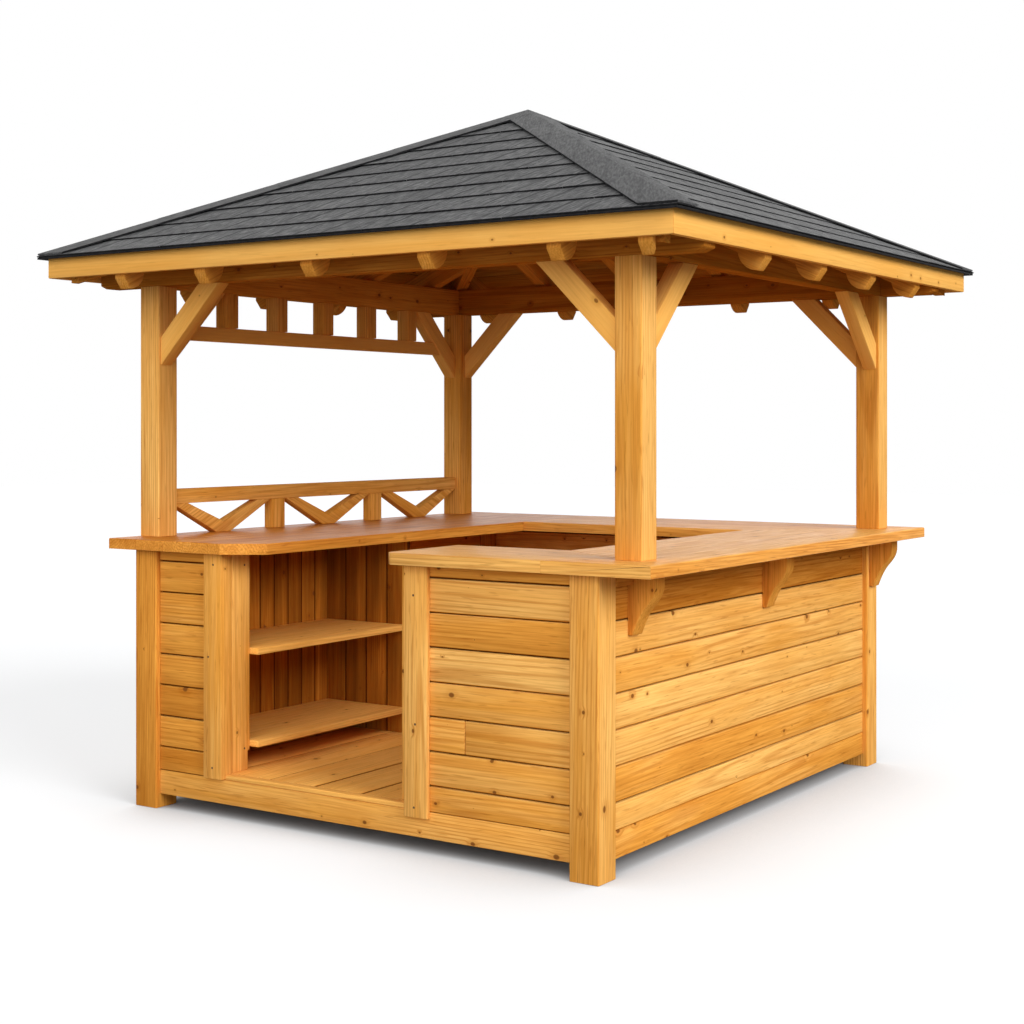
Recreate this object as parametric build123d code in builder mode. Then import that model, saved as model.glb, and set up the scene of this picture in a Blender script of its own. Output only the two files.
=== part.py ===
"""Garden bar gazebo: a boarded bar base, a counter round it and a hipped timber roof on four posts."""
import os

from build123d import *

os.makedirs("parts", exist_ok=True)

# Bar base over its four corner posts. X runs along the front, Y from front to back.
base_length = 2136
base_depth = 2430
corner_post = 115
post_chamfer = 4

# Sills between the corner posts, with joists and the floor on them.
sill_clear = 55
sill_height = 95
sill_width = 80
joist_width = 45
joist_count = 5
floor_thickness = 18

# Boarded walls stand on the sills, a little behind the faces of the posts.
wall_setback = 20
wall_thickness = 40

# Doorway in the front wall.
left_panel = 254
jamb_width = 94
door_width = 874
trim_width = 101
trim_lap = 22
lining_set = 54
lining_width = 75
lining_depth = 110
stile_depth = 99
stile_thickness = 40
stile_foot = 75
stile_step = 10

# Shelves along the left wall.
shelf_length = 982
shelf_depth = 436
shelf_thickness = 25
lower_shelf_rise = 113
shelf_spacing = 359
back_lining = 12
end_thickness = 18
end_nose = 15

# Counter round the base.
counter_top = 1057
counter_thickness = 42
counter_round = 6
over_left = 112
over_right = 212
over_front = 35
over_back = 20
left_arm = 750
right_arm = 575
front_arm = 450
back_arm = 615
end_nose_front = 5
clip_along = 150
clip_across = 100
small_clip = 25

# Ogee brackets and the ledger under the right counter.
bracket_from_post = 145
bracket_thickness = 70
bracket_reach = 105
bracket_height = 220
bracket_nose = 45
bracket_foot = 18
bracket_lean_share = 0.35
ledger_thickness = 24
ledger_height = 45

# Roof frame: its posts stand on the counter, outside the base at the sides and inside it at front and back.
frame_outset = 95
frame_inset = 117
roof_post = 105
post_height = 1010
beam_width = 80
beam_height = 125
beam_slant = 30
brace_leg = 320
brace_depth = 80
brace_thickness = 60

# Rail and header on the left side.
rail_gap = 128
rail_height = 60
rail_thickness = 45
upright_width = 85
diagonal_width = 44
diagonal_gap = 6
header_drop = 147
header_height = 60
baluster = 68
baluster_gap = 6
baluster_count = 5

# Roof: eaves at the outer face of the fascia, slopes at the top of the roof boards.
eave_overhang = 255
fascia_thickness = 25
fascia_height = 83
fascia_rise = 28
roof_rise = 632
boards_thickness = 20
covering_thickness = 20
covering_overhang = 28
rafter_width = 55
rafter_height = 110
tail_nose = 15
tail_drop = 55
tail_slant = 30
tail_belly = 75
hip_setback = 40
king_reach = 60
king_drop = 25
cap_width = 130
cap_thickness = 8

# Places of the rafters along each eave, from its middle, as shares of half its length.
front_rafter_shares = (-0.73, -0.43, -0.06, 0.31, 0.68, 0.92)
back_rafter_shares = (-0.76, -0.425, -0.085, 0.255, 0.58)
side_rafter_shares = (-0.456, -0.098, 0.26, 0.62)

half = 1 / 2

# Lines worked out from the sizes above.
x_half = base_length * half
y_half = base_depth * half
post_in_x = x_half - corner_post
post_in_y = y_half - corner_post
wall_face_x = x_half - wall_setback
wall_face_y = y_half - wall_setback
room_x = wall_face_x - wall_thickness
room_y = wall_face_y - wall_thickness
sill_in_x = wall_face_x - sill_width
sill_in_y = wall_face_y - sill_width
sill_top = sill_clear + sill_height
floor_top = sill_top + floor_thickness
counter_bottom = counter_top - counter_thickness
beam_bottom = counter_top + post_height
beam_top = beam_bottom + beam_height
frame_x = x_half + frame_outset
frame_y = y_half - frame_inset
eave_x = frame_x + eave_overhang
eave_y = frame_y + eave_overhang
fascia_bottom = beam_bottom + fascia_rise
eave_height = fascia_bottom + fascia_height
apex_height = eave_height + roof_rise


def block(x_low, x_high, y_low, y_high, z_low, z_high):
    """A squared timber or panel between two corners."""
    return plate(((x_low, y_low), (x_high, y_low), (x_high, y_high), (x_low, y_high)), z_low, z_high)


def plate(outline, z_low, z_high):
    """A level plate between two heights."""
    with BuildPart() as level:
        with BuildSketch(Plane.XY.offset(z_low)):
            Polygon(*outline, align=None)
        extrude(amount=z_high - z_low)
    return level.part


def save(piece, name):
    """Labels a finished piece and writes it to its own file."""
    piece.label = name
    export_step(piece, f"parts/{name}.step")


# Corner posts of the base.
corner_middles = [
    (x_sign * (x_half - corner_post * half), y_sign * (y_half - corner_post * half))
    for x_sign in (-1, 1)
    for y_sign in (-1, 1)
]
with BuildPart() as corner_posts:
    with BuildSketch(Plane.XY):
        with Locations(*corner_middles):
            Rectangle(corner_post, corner_post)
    extrude(amount=counter_bottom)
    chamfer(corner_posts.edges().filter_by(Axis.Z), post_chamfer)
save(corner_posts.part, "corner_posts")

# Sills between the posts and joists between the front and back sills.
with BuildPart() as sills:
    with BuildSketch(Plane.XY.offset(sill_clear)):
        with GridLocations(0, wall_face_y + sill_in_y, 1, 2):
            Rectangle(post_in_x * 2, sill_width)
        with GridLocations(wall_face_x + sill_in_x, 0, 2, 1):
            Rectangle(sill_width, post_in_y * 2)
    extrude(amount=sill_height)
save(sills.part, "sills")

with BuildPart() as floor_joists:
    with BuildSketch(Plane.XY.offset(sill_clear)):
        with GridLocations(sill_in_x * 2 / (joist_count + 1), 0, joist_count, 1):
            Rectangle(joist_width, sill_in_y * 2)
    extrude(amount=sill_height)
save(floor_joists.part, "floor_joists")

# Floor inside the walls, notched round the posts, with a tongue through the doorway.
jamb_left = -post_in_x + left_panel
door_left = jamb_left + jamb_width
door_right = door_left + door_width
with BuildPart() as floor_deck:
    with BuildSketch(Plane.XY.offset(sill_top)):
        Rectangle(room_x * 2, room_y * 2)
        Polygon(
            (door_left, -room_y),
            (door_left, -wall_face_y),
            (door_right, -wall_face_y),
            (door_right, -room_y),
            align=None,
        )
        with Locations(*corner_middles):
            Rectangle(corner_post, corner_post, mode=Mode.SUBTRACT)
    extrude(amount=floor_thickness)
save(floor_deck.part, "floor")

# Walls.
walls = {
    "left_wall": (-wall_face_x, -room_x, -post_in_y, post_in_y),
    "right_wall": (room_x, wall_face_x, -post_in_y, post_in_y),
    "back_wall": (-post_in_x, post_in_x, room_y, wall_face_y),
    "front_left_wall": (-post_in_x, jamb_left, -wall_face_y, -room_y),
    "front_right_wall": (door_right, post_in_x, -wall_face_y, -room_y),
}
for name, sides_of_wall in walls.items():
    save(block(*sides_of_wall, sill_top, counter_bottom), name)

# Frame of the doorway: jamb on the left, trim and set-back lining on the right.
save(block(jamb_left, door_left, -y_half, -room_y, sill_top, counter_bottom), "left_jamb")
trim_right = door_right + trim_width
save(block(door_right, trim_right, -y_half, -wall_face_y, sill_top - trim_lap, counter_bottom), "right_trim")
lining_left = door_right - lining_set
lining_back = -room_y + lining_depth
save(
    block(lining_left, lining_left + lining_width, -room_y, lining_back, floor_top, counter_bottom),
    "right_lining",
)

# Stile at the near end of the shelves, stepped back at its foot.
stile_back = -room_y + stile_depth
stile_left = door_left - stile_thickness
with BuildPart() as shelf_stile:
    with BuildSketch(Plane.YZ.offset(stile_left)):
        Polygon(
            (-room_y, floor_top),
            (stile_back - stile_step, floor_top),
            (stile_back - stile_step, floor_top + stile_foot),
            (stile_back, floor_top + stile_foot),
            (stile_back, counter_bottom),
            (-room_y, counter_bottom),
            align=None,
        )
    extrude(amount=stile_thickness)
save(shelf_stile.part, "shelf_stile")

# Shelves, the boarded lining behind them and the panel at their far end.
lining_face = -room_x + back_lining
shelf_front = lining_face + shelf_depth
shelf_end = -post_in_y + shelf_length
shelf_tops = (floor_top + lower_shelf_rise, floor_top + lower_shelf_rise + shelf_spacing)
with BuildPart() as shelves:
    for shelf_top in shelf_tops:
        with BuildSketch(Plane.XY.offset(shelf_top - shelf_thickness)):
            Polygon(
                (lining_face, -post_in_y),
                (stile_left, -post_in_y),
                (stile_left, stile_back),
                (shelf_front, stile_back),
                (shelf_front, shelf_end),
                (lining_face, shelf_end),
                align=None,
            )
        extrude(amount=shelf_thickness)
save(shelves.part, "shelves")
save(block(-room_x, lining_face, -post_in_y, shelf_end, floor_top, counter_bottom), "shelf_back")
panel_right = shelf_front + end_nose
save(
    block(-room_x, panel_right, shelf_end, shelf_end + end_thickness, floor_top, counter_bottom),
    "shelf_end",
)

# Counter arms: mitred at both right corners, butted at the back left, rounded along the outer edges.
counter_left = -x_half - over_left
counter_right = x_half + over_right
counter_front = -y_half - over_front
counter_back = y_half + over_back
left_inner = counter_left + left_arm
right_inner = counter_right - right_arm
front_inner = counter_front + front_arm
back_inner = counter_back - back_arm
front_end = lining_left - end_nose_front
counter_arms = {
    "counter_left": (
        (counter_left, counter_front),
        (left_inner - clip_along, counter_front),
        (left_inner, counter_front + clip_across),
        (left_inner, counter_back),
        (counter_left, counter_back),
    ),
    "counter_back": (
        (left_inner, back_inner),
        (right_inner, back_inner),
        (counter_right, counter_back),
        (left_inner, counter_back),
    ),
    "counter_right": (
        (right_inner, front_inner),
        (counter_right, counter_front),
        (counter_right, counter_back),
        (right_inner, back_inner),
    ),
    "counter_front": (
        (front_end + small_clip, counter_front),
        (counter_right, counter_front),
        (right_inner, front_inner),
        (front_end, front_inner),
        (front_end, counter_front + small_clip),
    ),
}
outer_x = (counter_left, counter_right)
outer_y = (counter_front, counter_back)


def is_outer(edge):
    """True for an edge along the outside of the counter."""
    middle = edge.center()
    gap_x = min(abs(middle.X - line) for line in outer_x)
    gap_y = min(abs(middle.Y - line) for line in outer_y)
    return min(gap_x, gap_y) < counter_round * half


for name, outline in counter_arms.items():
    with BuildPart() as arm:
        with BuildSketch(Plane.XY.offset(counter_bottom)):
            Polygon(*outline, align=None)
        extrude(amount=counter_thickness)
        top_edges = arm.edges().group_by(Axis.Z)[-1]
        fillet([edge for edge in top_edges if is_outer(edge)], counter_round)
    save(arm.part, name)

# Ogee brackets: two on the right wall and one on the back post.
first_bracket = -post_in_y + bracket_from_post
last_bracket = y_half - corner_post * half
bracket_places = (
    (first_bracket, wall_face_x),
    ((first_bracket + last_bracket) * half, wall_face_x),
    (last_bracket, x_half),
)
with BuildPart() as counter_brackets:
    for y_middle, face in bracket_places:
        nose_low = (face + bracket_reach, counter_bottom - bracket_nose)
        foot_low = (face + bracket_foot, counter_bottom - bracket_height)
        turn = ((nose_low[0] + foot_low[0]) * half, (nose_low[1] + foot_low[1]) * half)
        with BuildSketch(Plane.XZ.offset(-y_middle)):
            with BuildLine():
                Polyline(
                    foot_low,
                    (face, foot_low[1]),
                    (face, counter_bottom),
                    (nose_low[0], counter_bottom),
                    nose_low,
                )
                Spline(nose_low, turn, foot_low, tangents=((0, -1), (-bracket_lean_share, -1)))
            make_face()
        extrude(amount=bracket_thickness * half, both=True)
save(counter_brackets.part, "counter_brackets")

# Ledger under the counter, between the brackets.
bracket_sides = [y + sign * bracket_thickness * half for y, face in bracket_places[:2] for sign in (-1, 1)]
ledger_ends = [-post_in_y, *bracket_sides, post_in_y]
with BuildPart() as counter_ledger:
    for low, high in zip(ledger_ends[0::2], ledger_ends[1::2]):
        with BuildSketch(Plane.XY.offset(counter_bottom - ledger_height)):
            with Locations((wall_face_x + ledger_thickness * half, (low + high) * half)):
                Rectangle(ledger_thickness, high - low)
        extrude(amount=ledger_height)
save(counter_ledger.part, "counter_ledger")

# Roof posts.
with BuildPart() as roof_posts:
    with BuildSketch(Plane.XY.offset(counter_top)):
        with GridLocations(frame_x * 2 - roof_post, frame_y * 2 - roof_post, 2, 2):
            Rectangle(roof_post, roof_post)
    extrude(amount=post_height)
    chamfer(roof_posts.edges().filter_by(Axis.Z), post_chamfer)
save(roof_posts.part, "roof_posts")

# Front and back beams run past the posts to the fascias, under the roof boards, with slanted ends;
# the side beams butt between them.
beam_middle_x = frame_x - beam_width * half
beam_middle_y = frame_y - beam_width * half
beam_tip = eave_x - fascia_thickness
beam_nose = fascia_bottom - tail_nose
tip_top = eave_height + roof_rise * fascia_thickness / eave_x - boards_thickness
under_boards = eave_x * (1 - (beam_top + boards_thickness - eave_height) / roof_rise)
beams = {}
for name, y_sign in (("front_beam", -1), ("back_beam", 1)):
    with BuildPart() as beam:
        with BuildSketch(Plane.XZ.offset(-y_sign * beam_middle_y)):
            Polygon(
                (beam_slant - beam_tip, beam_bottom),
                (beam_tip - beam_slant, beam_bottom),
                (beam_tip, beam_nose),
                (beam_tip, tip_top),
                (under_boards, beam_top),
                (-under_boards, beam_top),
                (-beam_tip, tip_top),
                (-beam_tip, beam_nose),
                align=None,
            )
        extrude(amount=beam_width * half, both=True)
    beams[name] = beam.part
for name, x_sign in (("left_beam", -1), ("right_beam", 1)):
    with BuildPart() as beam:
        with BuildSketch(Plane.YZ.offset(x_sign * beam_middle_x)):
            with Locations((0, (beam_bottom + beam_top) * half)):
                Rectangle((frame_y - beam_width) * 2, beam_height)
        extrude(amount=beam_width * half, both=True)
    beams[name] = beam.part
for name, piece in beams.items():
    save(piece, name)

# Knee braces from each roof post to the beams.
brace_foot = brace_depth * 2**half
post_face_x = frame_x - roof_post
post_face_y = frame_y - roof_post


def brace_outline(face, sign):
    """Outline of a brace that leans in from a post face."""
    return (
        (sign * face, beam_bottom - brace_leg),
        (sign * face, beam_bottom - brace_leg + brace_foot),
        (sign * (face - brace_leg + brace_foot), beam_bottom),
        (sign * (face - brace_leg), beam_bottom),
    )


with BuildPart() as knee_braces:
    for y_sign in (-1, 1):
        for x_sign in (-1, 1):
            with BuildSketch(Plane.XZ.offset(-y_sign * beam_middle_y)):
                Polygon(*brace_outline(post_face_x, x_sign), align=None)
            extrude(amount=brace_thickness * half, both=True)
            with BuildSketch(Plane.YZ.offset(x_sign * beam_middle_x)):
                Polygon(*brace_outline(post_face_y, y_sign), align=None)
            extrude(amount=brace_thickness * half, both=True)
save(knee_braces.part, "knee_braces")

# Low rail on the left side, with uprights and diagonals under it.
rail_bottom = counter_top + rail_gap
rail_plane = Plane.YZ.offset(-frame_x + roof_post * half)
with BuildPart() as left_rail:
    with BuildSketch(rail_plane):
        with Locations((0, rail_bottom + rail_height * half)):
            Rectangle(post_face_y * 2, rail_height)
    extrude(amount=rail_thickness * half, both=True)
save(left_rail.part, "left_rail")

bay_length = (post_face_y * 2 - upright_width * 2) / 3
bay_pitch = bay_length + upright_width
bay_reach = bay_length * half - diagonal_gap
with BuildPart() as rail_braces:
    with BuildSketch(rail_plane):
        for bay in (-1, 0, 1):
            middle = bay * bay_pitch
            Polygon(
                (middle - bay_reach, rail_bottom),
                (middle - bay_reach + diagonal_width * 2, rail_bottom),
                (middle, counter_top + diagonal_width),
                (middle + bay_reach - diagonal_width * 2, rail_bottom),
                (middle + bay_reach, rail_bottom),
                (middle + diagonal_width, counter_top),
                (middle - diagonal_width, counter_top),
                align=None,
            )
        with Locations((0, (counter_top + rail_bottom) * half)):
            with GridLocations(bay_pitch, 0, 2, 1):
                Rectangle(upright_width, rail_gap)
    extrude(amount=rail_thickness * half, both=True)
save(rail_braces.part, "rail_braces")

# Header on the left side between the braces, with balusters up to the beam.
header_top = beam_bottom - header_drop
header_bottom = header_top - header_height
brace_end = post_face_y - brace_leg
header_plane = Plane.YZ.offset(-beam_middle_x)
with BuildPart() as left_header:
    with BuildSketch(header_plane):
        Polygon(
            (-brace_end - header_drop - header_height, header_bottom),
            (brace_end + header_drop + header_height, header_bottom),
            (brace_end + header_drop, header_top),
            (-brace_end - header_drop, header_top),
            align=None,
        )
    extrude(amount=rail_thickness * half, both=True)
save(left_header.part, "left_header")

baluster_pitch = (brace_end * 2 - baluster_gap * 2 - baluster) / (baluster_count - 1)
with BuildPart() as header_balusters:
    with BuildSketch(header_plane):
        with Locations((0, (header_top + beam_bottom) * half)):
            with GridLocations(baluster_pitch, 0, baluster_count, 1):
                Rectangle(baluster, header_drop)
    extrude(amount=baluster * half, both=True)
save(header_balusters.part, "header_balusters")

# Roof slopes: a direction out from the middle, one along the eave, half the eave, the run out to it
# and the places of the rafters.
slopes = {
    "front": ((0, -1), (1, 0), eave_x, eave_y, front_rafter_shares),
    "right": ((1, 0), (0, 1), eave_y, eave_x, side_rafter_shares),
    "back": ((0, 1), (-1, 0), eave_x, eave_y, [-share for share in back_rafter_shares]),
    "left": ((-1, 0), (0, -1), eave_y, eave_x, [-share for share in side_rafter_shares]),
}


def in_plan(out_way, along_way, along, out):
    """Point in plan from a distance along the eave and a distance out from the middle."""
    return (along_way[0] * along + out_way[0] * out, along_way[1] * along + out_way[1] * out)


def across_slope(out_way, along_way, along):
    """Upright plane across a slope, with its first axis pointing out and its second up."""
    origin = (along_way[0] * along, along_way[1] * along, 0)
    return Plane(origin=origin, x_dir=(*out_way, 0), z_dir=(-along_way[0], -along_way[1], 0))


def boards_top(out, eave_out):
    """Height of the top of the roof boards at a distance out from the middle."""
    return apex_height - roof_rise * out / eave_out


def slope_slab(slope, out, lift, thickness):
    """Triangular slab of one slope from the apex to a distance out, at a height over the boards' top."""
    out_way, along_way, eave_along, eave_out, shares = slope
    along = eave_along * out / eave_out
    low = boards_top(out, eave_out) + lift
    apex = apex_height + lift
    with BuildPart() as slab:
        with BuildSketch(across_slope(out_way, along_way, 0)):
            Polygon((0, apex), (out, low), (out, low + thickness), (0, apex + thickness), align=None)
        extrude(amount=along, both=True)
        with BuildSketch(Plane.XY):
            Polygon(
                (0, 0),
                in_plan(out_way, along_way, -along, out),
                in_plan(out_way, along_way, along, out),
                align=None,
            )
        extrude(amount=apex + thickness, mode=Mode.INTERSECT)
    return slab.part


# Strips in plan along the four hips.
hip_length = (eave_x**2 + eave_y**2) ** half
hip_ways = [(x * eave_x / hip_length, y * eave_y / hip_length) for x in (-1, 1) for y in (-1, 1)]


def hip_strip(way, near, far, reach):
    """Corners of a strip along a hip, reaching an equal distance to both sides."""
    side_x = -way[1] * reach
    side_y = way[0] * reach
    return (
        (way[0] * near - side_x, way[1] * near - side_y),
        (way[0] * far - side_x, way[1] * far - side_y),
        (way[0] * far + side_x, way[1] * far + side_y),
        (way[0] * near + side_x, way[1] * near + side_y),
    )


# King block under the apex, where the hips meet.
rafter_drop = -boards_thickness - rafter_height
king_x = king_reach * hip_length / eave_x
king_y = king_reach * hip_length / eave_y
with BuildPart() as king_block:
    with BuildSketch(Plane.XY.offset(apex_height + rafter_drop - king_reach - king_drop)):
        Polygon((king_x, 0), (0, king_y), (-king_x, 0), (0, -king_y), align=None)
    extrude(amount=rafter_height + king_reach + king_drop)
    for slope in slopes.values():
        add(slope_slab(slope, slope[3], -boards_thickness, roof_rise), mode=Mode.SUBTRACT)
save(king_block.part, "king_block")

# Hip rafters under the four hips, butted on the king block and notched over the beams.
with BuildPart() as rafter_shell:
    for slope in slopes.values():
        add(slope_slab(slope, slope[3] - fascia_thickness - hip_setback, rafter_drop, rafter_height))
with BuildPart() as hip_rafters:
    with BuildSketch(Plane.XY):
        for way in hip_ways:
            Polygon(*hip_strip(way, king_reach, hip_length, rafter_width * half), align=None)
    extrude(amount=apex_height)
    add(rafter_shell.part, mode=Mode.INTERSECT)
    for piece in beams.values():
        add(piece, mode=Mode.SUBTRACT)
save(hip_rafters.part, "hip_rafters")

# Common rafters of each side, with bellied tails, cut to the hips and notched over the beams.
for name, (out_way, along_way, along, out, shares) in slopes.items():
    tail_out = out - fascia_thickness
    belly_out = tail_out - tail_slant - tail_belly
    hip_cut = rafter_width * half * hip_length / out
    nose = (tail_out, fascia_bottom - tail_nose)
    chin = (tail_out - tail_slant, fascia_bottom - tail_drop)
    belly = (belly_out, boards_top(belly_out, out) + rafter_drop)
    with BuildPart() as rafters:
        for share in shares:
            with BuildSketch(across_slope(out_way, along_way, along * share)):
                with BuildLine():
                    Polyline(
                        belly,
                        (0, apex_height + rafter_drop),
                        (0, apex_height - boards_thickness),
                        (tail_out, boards_top(tail_out, out) - boards_thickness),
                        nose,
                        chin,
                    )
                    TangentArc(chin, belly, tangent=(-1, 0))
                make_face()
            extrude(amount=rafter_width * half, both=True)
        with BuildSketch(Plane.XY):
            Polygon(
                in_plan(out_way, along_way, 0, hip_cut * out / along),
                in_plan(out_way, along_way, hip_cut - along, out),
                in_plan(out_way, along_way, along - hip_cut, out),
                align=None,
            )
        extrude(amount=apex_height, mode=Mode.INTERSECT)
        for piece in (*beams.values(), king_block.part):
            add(piece, mode=Mode.SUBTRACT)
    save(rafters.part, f"{name}_rafters")

# Fascia boards, mitred along the hips, in two pairs.
for pair, names in (("front_back_fascias", ("front", "back")), ("side_fascias", ("left", "right"))):
    with BuildPart() as fascias:
        for name in names:
            out_way, along_way, along, out, shares = slopes[name]
            inner = out - fascia_thickness
            with BuildSketch(across_slope(out_way, along_way, 0)):
                Polygon(
                    (inner, fascia_bottom),
                    (out, fascia_bottom),
                    (out, eave_height),
                    (inner, boards_top(inner, out)),
                    align=None,
                )
            extrude(amount=along, both=True)
        with BuildSketch(Plane.XY):
            for name in names:
                out_way, along_way, along, out, shares = slopes[name]
                Polygon(
                    (0, 0),
                    in_plan(out_way, along_way, -along, out),
                    in_plan(out_way, along_way, along, out),
                    align=None,
                )
        extrude(amount=apex_height, mode=Mode.INTERSECT)
    save(fascias.part, pair)

# Roof boards and covering of each slope, then the caps along the hips.
for name, slope in slopes.items():
    eave_out = slope[3]
    save(slope_slab(slope, eave_out - fascia_thickness, -boards_thickness, boards_thickness), f"{name}_roof_boards")
    save(slope_slab(slope, eave_out + covering_overhang, 0, covering_thickness), f"{name}_covering")

with BuildPart() as cap_shell:
    for slope in slopes.values():
        add(slope_slab(slope, slope[3] + covering_overhang, covering_thickness, cap_thickness))
with BuildPart() as hip_caps:
    with BuildSketch(Plane.XY):
        for way in hip_ways:
            far = hip_length + covering_overhang * 2 + cap_width
            Polygon(*hip_strip(way, 0, far, cap_width), align=None)
    extrude(amount=apex_height + covering_thickness + cap_thickness)
    add(cap_shell.part, mode=Mode.INTERSECT)
save(hip_caps.part, "hip_caps")
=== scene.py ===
import math
import random

import bpy
from mathutils import Matrix, Vector


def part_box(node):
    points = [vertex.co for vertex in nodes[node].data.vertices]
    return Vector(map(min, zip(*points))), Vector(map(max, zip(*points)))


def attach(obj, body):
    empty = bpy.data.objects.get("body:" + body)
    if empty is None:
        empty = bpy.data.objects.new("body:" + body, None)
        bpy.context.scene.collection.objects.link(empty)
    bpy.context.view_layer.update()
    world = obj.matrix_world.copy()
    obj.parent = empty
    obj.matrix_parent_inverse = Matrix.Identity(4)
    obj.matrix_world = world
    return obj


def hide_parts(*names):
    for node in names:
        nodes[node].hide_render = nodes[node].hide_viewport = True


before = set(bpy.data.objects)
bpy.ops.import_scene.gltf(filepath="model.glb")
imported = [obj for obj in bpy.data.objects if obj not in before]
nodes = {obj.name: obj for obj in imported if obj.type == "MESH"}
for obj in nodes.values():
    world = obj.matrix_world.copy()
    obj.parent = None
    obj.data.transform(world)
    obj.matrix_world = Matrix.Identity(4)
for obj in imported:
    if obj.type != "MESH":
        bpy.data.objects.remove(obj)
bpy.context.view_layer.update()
xWay, yWay, zWay = (1, 0, 0), (0, 1, 0), (0, 0, 1)
print("frame loaded with", len(nodes), "nodes")


# selecting and editing, as by hand

def takeUp(piece):
    bpy.ops.object.select_all(action="DESELECT")
    piece.select_set(True)
    bpy.context.view_layer.objects.active = piece


def openAll(piece):
    takeUp(piece)
    bpy.ops.object.mode_set(mode="EDIT")
    bpy.ops.mesh.select_all(action="SELECT")


def closeEdit():
    bpy.ops.object.mode_set(mode="OBJECT")


def joinUp(parts, name):
    bpy.ops.object.select_all(action="DESELECT")
    for part in parts:
        part.select_set(True)
    bpy.context.view_layer.objects.active = parts[0]
    if len(parts) > 1:
        bpy.ops.object.join()
    whole = bpy.context.view_layer.objects.active
    whole.name = name
    whole.data.name = name
    return whole


def cutPast(piece, point, way):
    # takes away what lies past a plane and closes the cut
    openAll(piece)
    bpy.ops.mesh.bisect(plane_co=point, plane_no=way, use_fill=True, clear_outer=True)
    closeEdit()


def ownCopy(piece):
    twin = piece.copy()
    twin.data = piece.data.copy()
    bpy.context.scene.collection.objects.link(twin)
    return twin


def paint(piece, finish):
    piece.data.materials.clear()
    piece.data.materials.append(finish)


def handOver(piece, nodeName):
    takeUp(piece)
    bpy.ops.object.shade_smooth_by_angle(angle=math.radians(35))
    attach(piece, "root")
    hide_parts(nodeName)


# shader nodes

def addNode(tree, kind, settings=None, feeds=None):
    node = tree.nodes.new(kind)
    for key, value in (settings or {}).items():
        setattr(node, key, value)
    for key, value in (feeds or {}).items():
        if isinstance(value, bpy.types.NodeSocket):
            tree.links.new(value, node.inputs[key])
        else:
            node.inputs[key].default_value = value
    return node


def mathNode(tree, operation, first, second=0.0):
    return addNode(tree, "ShaderNodeMath", {"operation": operation}, {0: first, 1: second}).outputs[0]


def vectorNode(tree, operation, first, second):
    return addNode(tree, "ShaderNodeVectorMath", {"operation": operation}, {0: first, 1: second}).outputs[0]


def dotNode(tree, first, second):
    return addNode(tree, "ShaderNodeVectorMath", {"operation": "DOT_PRODUCT"}, {0: first, 1: second}).outputs["Value"]


def noiseNode(tree, place, scale, detail):
    feeds = {"Vector": place, "Scale": scale, "Detail": detail}
    return addNode(tree, "ShaderNodeTexNoise", None, feeds).outputs["Fac"]


def rangeNode(tree, value, fromLow, fromHigh, toLow, toHigh):
    feeds = {"Value": value, "From Min": fromLow, "From Max": fromHigh, "To Min": toLow, "To Max": toHigh}
    return addNode(tree, "ShaderNodeMapRange", {"interpolation_type": "SMOOTHSTEP"}, feeds).outputs["Result"]


def rampNode(tree, value, stops):
    ramp = addNode(tree, "ShaderNodeValToRGB", None, {"Fac": value})
    marks = ramp.color_ramp.elements
    while len(marks) < len(stops):
        marks.new(0.5)
    for mark, (place, colour) in zip(marks, stops):
        mark.position = place
        mark.color = (*colour, 1)
    return ramp.outputs["Color"]


def mixColour(tree, blend, amount, first, second):
    node = addNode(tree, "ShaderNodeMix", {"data_type": "RGBA", "blend_type": blend})
    for place, value in ((0, amount), (6, first), (7, second)):
        if isinstance(value, bpy.types.NodeSocket):
            tree.links.new(value, node.inputs[place])
        else:
            node.inputs[place].default_value = value
    return node.outputs[2]


def markOf(tree, name, output):
    return addNode(tree, "ShaderNodeAttribute", {"attribute_name": name}).outputs[output]


def newFinish(name):
    finish = bpy.data.materials.new(name)
    finish.use_nodes = True
    tree = finish.node_tree
    return finish, tree, tree.nodes["Principled BSDF"]


# stained softwood: fibres, streaks, knots and faint growth rings round each timber's own heart

pine = {
    "tones": ((0.0, (0.15, 0.042, 0.005)), (0.33, (0.56, 0.200, 0.022)),
              (0.67, (0.82, 0.370, 0.062)), (1.0, (0.97, 0.555, 0.160))),
    "ringGap": 0.011, "ringAmount": (0.05, 0.45), "ringTint": (0.64, 0.41, 0.20, 1),
    "fibreTint": (0.60, 0.40, 0.22, 1), "fibreAmount": 0.42,
    "dashTint": (0.46, 0.27, 0.13, 1), "dashAmount": 0.32,
    "knotTint": (0.20, 0.065, 0.014, 1), "knotAmount": 0.9, "knotShare": (0.56, 0.95), "knotSizes": (0.001, 0.10),
    "haloTint": (0.62, 0.42, 0.24, 1), "haloAmount": 0.3, "haloBow": 0.006,
    "streakTones": (-0.10, 0.10), "patchTones": (-0.13, 0.13),
    "roughness": 0.6, "sheen": 0.0, "relief": (0.2, 0.001),
}


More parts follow.
